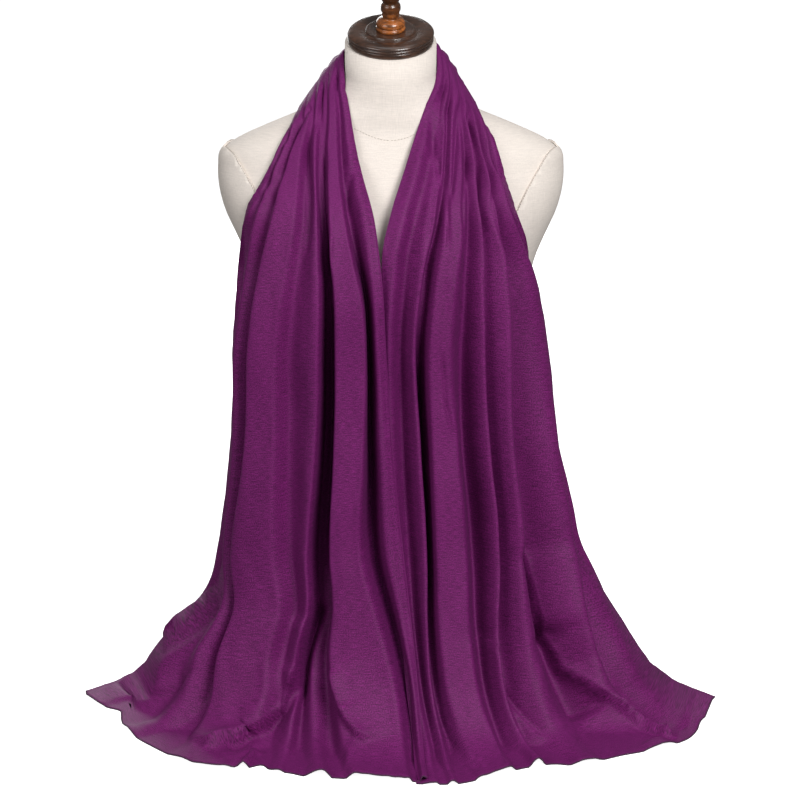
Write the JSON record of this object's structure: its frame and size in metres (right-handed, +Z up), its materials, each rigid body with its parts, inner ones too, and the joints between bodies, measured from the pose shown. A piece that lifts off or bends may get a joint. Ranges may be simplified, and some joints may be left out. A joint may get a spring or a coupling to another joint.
{
  "type": "hijab headscarf on a limbless dress form",
  "caption": "Long plain jersey headscarf hung round the neck of a limbless linen dress form, its ends falling in soft folds and spread on the surface in front.",
  "frame": {"origin": "middle of the dress form's flat base, on the surface that it stands on", "axes": "+Z up, -Y the way that the form faces and the scarf's ends hang, +X to the right of someone who looks at it from the front"},
  "size_m": [0.7111, 0.4164, 0.7987],
  "materials": {
    "cloth": "soft matt jersey with a faint sheen",
    "linen": "matt cream linen cover",
    "walnut": "dark lacquered turned wood"
  },
  "bodies": {
    "root": {"scarf_left_fall": "cloth", "scarf_right_fall": "cloth", "scarf_neck_loop": "cloth", "form_body": "linen", "form_armplate_left": "linen", "form_armplate_right": "linen", "form_neck_cap": "walnut", "form_finial": "walnut"}
  },
  "joints": []
}
